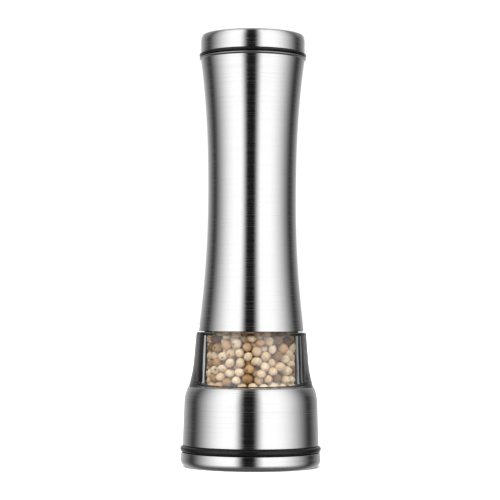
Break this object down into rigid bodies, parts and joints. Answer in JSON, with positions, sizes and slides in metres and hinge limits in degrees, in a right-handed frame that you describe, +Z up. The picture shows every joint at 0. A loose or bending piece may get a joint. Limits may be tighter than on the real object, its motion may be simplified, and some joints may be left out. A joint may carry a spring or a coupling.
{
  "type": "pepper mill",
  "caption": "Twist pepper mill with a waisted brushed steel handle, clear pepper window, steel base with rubber grip ring and lift-off cap.",
  "frame": {"origin": "centre of the flat annular face that the mill stands on", "axes": "+Z up along the mill's axis, -Y towards the viewer, +X to the viewer's right"},
  "size_m": [0.065, 0.065, 0.2],
  "materials": {
    "brushed_steel": "stainless steel sheet, brushed round the axis",
    "plain_steel": "drawn steel bar, wire, washers, clips and screws, bright",
    "clear_acrylic": "clear acrylic, polished",
    "black_rubber": "black rubber, smooth satin",
    "black_plastic": "black moulded plastic, fine matt grain",
    "natural_plastic": "uncoloured moulded nylon",
    "white_ceramic": "white sintered ceramic, satin",
    "brass": "turned brass",
    "peppercorn": "dried white pepper, cream to tan, wrinkled"
  },
  "bodies": {
    "base": {"window_body": "clear_acrylic", "window_seal": "black_rubber", "peppercorns": "peppercorn", "base_shell": "brushed_steel", "mill_housing": "black_plastic", "bearing_bridge": "black_plastic", "stator_burr": "white_ceramic", "bottom_cover": "black_plastic", "cover_screws": "plain_steel", "grip_ring": "black_rubber", "foot_ring": "brushed_steel"},
    "handle": {"tube_shell": "brushed_steel", "mouth_ring": "black_plastic", "pepper_sleeve": "natural_plastic", "swivel_collar": "black_plastic", "drive_spider": "natural_plastic", "spider_screws": "plain_steel", "drive_shaft": "plain_steel", "shaft_clips": "plain_steel", "shaft_bush": "natural_plastic", "thrust_washer": "plain_steel"},
    "lid": {"cap_shell": "brushed_steel", "cap_insert": "black_plastic", "cap_gasket": "black_rubber", "plug_seal": "black_rubber"},
    "rotor": {"rotor_burr": "white_ceramic", "feed_paddle": "natural_plastic", "burr_spring": "plain_steel", "adjuster_washer": "plain_steel"},
    "knob": {"adjuster_knob": "black_plastic", "knob_nut": "brass"}
  },
  "joints": [
    {"name": "grind_turn", "type": "hinge", "parent": "base", "child": "handle", "pos_m": [0, 0, 0.066], "axis": [0, 0, 1], "continuous": true},
    {"name": "lid_lift", "type": "slide", "parent": "handle", "child": "lid", "axis": [0, 0, 1], "range_m": [0, 0.03]},
    {"name": "adjust_turn", "type": "hinge", "parent": "rotor", "child": "knob", "pos_m": [0, 0, 0.006], "axis": [0, 0, 1], "range_deg": [0, 400]},
    {"name": "burr_gap", "type": "slide", "parent": "handle", "child": "rotor", "axis": [0, 0, 1], "range_m": [0, 0.0009], "deforming": ["burr_spring"]}
  ],
  "couplings": [
    {"joint": "burr_gap", "follows": "adjust_turn", "m_per_rad": 0.00012732}
  ]
}
